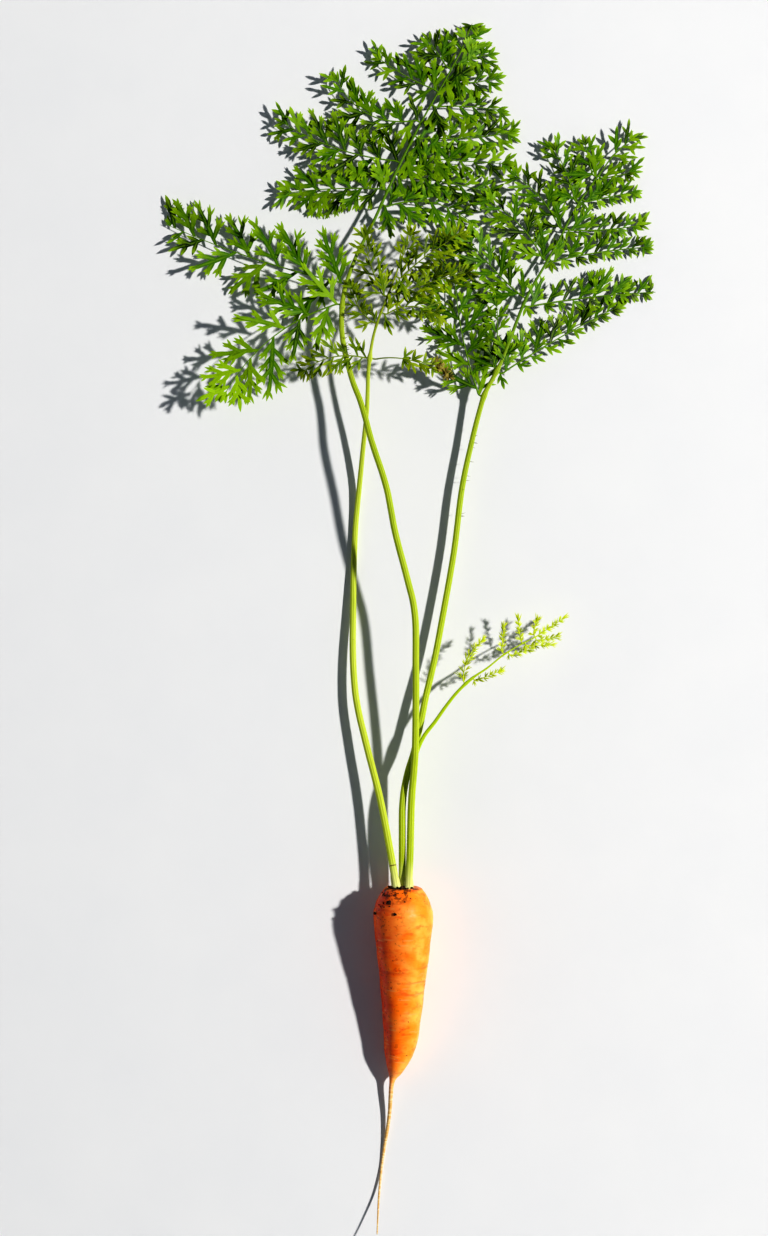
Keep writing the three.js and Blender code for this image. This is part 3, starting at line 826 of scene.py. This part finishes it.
def crumb_lumps(node, rng):
    """One crumb, bedded in a few smaller ones, where the CAD crumb is."""
    lo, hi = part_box(node)
    middle, size = (lo + hi) / 2, (hi.x - lo.x) / 2
    yield np.array(middle) - UP * CRUMB_SUNK, 0.85 * size, 0.8
    for _ in range(3):
        aside = Vector((rng.uniform(-1, 1), rng.uniform(-1, 1), -0.5)) * size
        yield np.array(middle + aside), rng.uniform(0.25, 0.45) * size, 0.8


# ---- Scene -----------------------------------------------------------------------------------------

STALK_LINE_STEP = 0.5 * MM
LOWEST_PINNAE = ("tall_leaf_pinna_left_1", "tall_leaf_pinna_left_2")
# Bristles: from where to where along the stalk, and how many. Scars: how far along.
BRISTLES = {"tall_leaf": (228 * MM, 262 * MM, 60), "right_leaf": (160 * MM, 205 * MM, 12)}
STALK_SCARS = {"old_leaf": 12 * MM}

# The studio, in metres.
TABLE_RADIUS = 3.4
SWEEP_RADIUS = 1.0  # of the curve between the table and the wall
WALL_RISE = 1.6
TABLE_SIDES = 96
KEY_PLACE = (2.8, 0.44, 2.9)
FILL_PLACE = (-1.2, 0.8, 1.5)
CAMERA_HEIGHT = 1.9
FRAME_LENGTH = 1.0239  # the picture's long side, as a share of the plant's length
# Where the camera looks, from the middle of the plant, as shares of the plant's width and length.
LOOK_ASIDE = -0.0517
LOOK_AHEAD = 0.0079


def leaf_styles():
    """How each leaf's leaflets grow: lengths and widths, angles in degrees, and shares."""
    shared = dict(rib=0.36 * MM, wing=1.6 * MM, pitch=4.8 * MM, angle=(30, 46), curl=0.9, lobe_share=0.52,
                  shortest_lobe=4.6 * MM, longest_lobe=10 * MM, lobe_width=1.8 * MM, toothed=5.5 * MM,
                  taper=0.42, reach=1.8, shortest=14 * MM, lean=58, spacing=0.86, closest=5.4 * MM)
    return {
        "tall_leaf": shared,
        "tall_leaf_lowest": {**shared, "pitch": 5.8 * MM, "spacing": 0.98, "lobe_width": 1.9 * MM,
                             "toothed": 6.5 * MM},
        "right_leaf": {**shared, "curl": 1.05, "lobe_width": 1.6 * MM, "shortest_lobe": 4.2 * MM,
                       "shortest": 13 * MM},
        "old_leaf": {**shared, "curl": 1.8, "rib": 0.32 * MM, "lobe_width": 1.25 * MM, "wing": 1.2 * MM,
                     "pitch": 4.2 * MM, "shortest_lobe": 4.4 * MM, "spacing": 0.62, "closest": 4 * MM,
                     "reach": 1.6, "shortest": 8 * MM},
        "young_leaf": {**shared, "curl": 1.4, "rib": 0.26 * MM, "wing": 0.45 * MM, "pitch": 1.2 * MM,
                       "angle": (12, 30), "lobe_width": 0.42 * MM, "toothed": 3.8 * MM,
                       "shortest_lobe": 2.4 * MM, "longest_lobe": 4.4 * MM, "lobe_share": 0.85, "lean": 40,
                       "spacing": 0.6, "closest": 2.2 * MM, "reach": 0.9, "shortest": 2.4 * MM},
    }


def leaf_looks():
    """The material and the slot of each leaf's blades, and of its stalk."""
    green = leaf_material("leaf_green", rgb(8, 30, 0), rgb(62, 108, 0), rgb(150, 186, 14), rgb(126, 162, 30))
    aged = leaf_material("leaf_aged", rgb(22, 44, 0), rgb(78, 108, 2), rgb(156, 174, 14),
                         rgb(150, 164, 30), dry=rgb(160, 132, 50))
    fresh = leaf_material("leaf_fresh", rgb(140, 166, 6), rgb(184, 204, 12),
                          rgb(210, 220, 40), rgb(206, 216, 70))
    blades = {"tall_leaf": (green, "leaf_blade"), "right_leaf": (green, "leaf_blade"),
              "old_leaf": (aged, "old_leaf_blade"), "young_leaf": (fresh, "young_leaf_blade")}
    lime = stalk_material("stalk_lime", rgb(166, 186, 4), rgb(134, 160, 12), rgb(202, 210, 104),
                          rgb(92, 130, 8))
    faded = stalk_material("stalk_faded", rgb(182, 198, 40), rgb(160, 178, 40), rgb(216, 222, 122),
                           rgb(132, 148, 24))
    young = stalk_material("stalk_young", rgb(170, 196, 4), rgb(160, 188, 4), rgb(196, 212, 70),
                           rgb(176, 198, 8))
    stalks = {"tall_leaf": (lime, "green_stalk"), "right_leaf": (lime, "green_stalk"),
              "old_leaf": (faded, "old_stalk"), "young_leaf": (young, "green_stalk")}
    return blades, stalks


def grow_leaves():
    """Every stalk with its pinnae. The stalk swells where they leave it, so it is grown after them."""
    styles = leaf_styles()
    blades, stalks = leaf_looks()
    for number, leaf in enumerate(LEAVES):
        rng = random.Random(100 + number)
        node = leaf + "_stalk"
        line = tube_of(node, STALK_CORNERS, lambda p: p[:, 1])
        material, slot = blades[leaf]
        fine_line = smooth(line, STALK_LINE_STEP)
        feet = []
        for pinna in sorted(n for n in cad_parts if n.startswith(leaf + "_pinna")):
            sides = (1, 0.45) if pinna.startswith("right_leaf_pinna_right") else (1, 1)
            bare = 0.45 if pinna == "old_leaf_pinna_right_1" else 0.0
            ageing = pinna == LOWEST_PINNAE[0]
            style = styles["tall_leaf_lowest" if pinna in LOWEST_PINNAE else leaf]
            feet.append(grow_pinna(pinna, fine_line, style, material, slot, rng, sides, bare, ageing))
        stalk = grow_stalk(node, line, feet, stalks[leaf][0], rng, BRISTLES.get(leaf), STALK_SCARS.get(leaf))
        stand_for(stalk, node, stalks[leaf][1])


def grow_withered():
    """The dried leaflet: a few narrow, strongly curled blades, frayed at the ends."""
    rng = random.Random(7)
    straw = leaf_material("leaf_withered", rgb(36, 26, 6), rgb(116, 100, 34),
                          rgb(196, 182, 96), rgb(176, 164, 84))
    style = dict(rib=0.3 * MM, wing=0.9 * MM, pitch=1.8 * MM, angle=(25, 75), curl=2.8, lobe_share=0.8,
                 shortest_lobe=2.2 * MM, longest_lobe=4.2 * MM, lobe_width=0.9 * MM, toothed=2.6 * MM,
                 taper=0.2, reach=1.5, shortest=3.6 * MM, lean=70, spacing=0.45, closest=1.2 * MM)
    arm = rings_of("old_leaf_pinna_right_1", PLATE_CORNERS, lambda p: p[:, 0]).mean(axis=1)
    grow_pinna("old_leaf_withered", arm, style, straw, "withered_leaf", rng)


def build_studio():
    """A pale round table that sweeps up into a wall far behind the plant, with no edge between them."""
    profile = [(TABLE_RADIUS * share, 0.0) for share in (0.02, 0.5, 1)]
    for t in np.linspace(0, math.pi / 2, 9)[1:]:
        profile.append((TABLE_RADIUS + SWEEP_RADIUS * math.sin(t), SWEEP_RADIUS * (1 - math.cos(t))))
    profile.append((TABLE_RADIUS + SWEEP_RADIUS, SWEEP_RADIUS + WALL_RISE))
    rings = [[(r * math.cos(a), r * math.sin(a), z) for a in turns_round(TABLE_SIDES)] for r, z in profile]
    index = np.arange(len(profile) * TABLE_SIDES).reshape(-1, TABLE_SIDES)
    beside = np.roll(index, -1, axis=1)
    quads = np.stack([index[:-1], index[1:], beside[1:], beside[:-1]], axis=-1).reshape(-1, 4).tolist()
    middle = list(range(TABLE_SIDES))
    mesh = bpy.data.meshes.new("table")
    mesh.from_pydata([corner for ring in rings for corner in ring], [], [*quads, middle])
    mesh.polygons.foreach_set("use_smooth", [True] * len(mesh.polygons))
    mesh.materials.append(floor_material())
    table = bpy.data.objects.new("table", mesh)
    bpy.context.scene.collection.objects.link(table)


def softbox(name, place, size, power, colour):
    """A round lamp that shines at the middle of the table."""
    light = bpy.data.lights.new(name, "AREA")
    light.shape = "DISK"
    light.size = size
    light.energy = power
    light.color = colour
    lamp = bpy.data.objects.new(name, light)
    lamp.location = place
    lamp.rotation_euler = (-Vector(place)).to_track_quat("-Z", "Y").to_euler()
    bpy.context.scene.collection.objects.link(lamp)


def build_light():
    """A strong lamp far to the right, and a faint blue fill, so that the shadows are dark and bluish."""
    world = bpy.data.worlds.new("studio")
    world.use_nodes = True
    sky = world.node_tree.nodes["Background"]
    sky.inputs["Color"].default_value = (0.36, 0.62, 1.0, 1.0)
    sky.inputs["Strength"].default_value = 0.055
    bpy.context.scene.world = world
    softbox("key", KEY_PLACE, 0.2, 163, (1.0, 0.98, 0.95))
    softbox("fill", FILL_PLACE, 1.4, 0.6, (0.7, 0.85, 1.0))


def build_camera():
    """A long lens straight above. The frame's long side sees a little more than the whole plant."""
    data = bpy.data.cameras.new("camera")
    data.sensor_width = 36
    data.lens = data.sensor_width * CAMERA_HEIGHT / (CAD_SIZE.y * FRAME_LENGTH)
    camera = bpy.data.objects.new("camera", data)
    middle = (CAD_LO + CAD_HI) / 2
    aside, forward = LOOK_ASIDE * CAD_SIZE.x, LOOK_AHEAD * CAD_SIZE.y
    camera.location = (middle.x + aside, middle.y + forward, CAMERA_HEIGHT)
    bpy.context.scene.collection.objects.link(camera)
    bpy.context.scene.camera = camera


bpy.context.scene.view_settings.view_transform = "Standard"
bpy.context.scene.view_settings.look = "High Contrast"
root_line = tube_of("taproot", ROOT_CORNERS, lambda p: p[:, 1])[::-1]
stand_for(grow_root(root_line), "taproot", "root_skin")
fine_root = smooth(root_line, ROOT_STEP)
grow_leaves()
grow_withered()
dark_soil = soil_material()
soil_rng = random.Random(5)
soil_piece("crown_soil_lumps", "crown_soil", crown_lumps(fine_root, soil_rng), dark_soil, soil_rng)
for crumb in ("soil_crumb_1", "soil_crumb_2", "soil_crumb_3"):
    soil_piece(crumb + "_rough", crumb, crumb_lumps(crumb, soil_rng), dark_soil, soil_rng)
build_studio()
build_light()
build_camera()
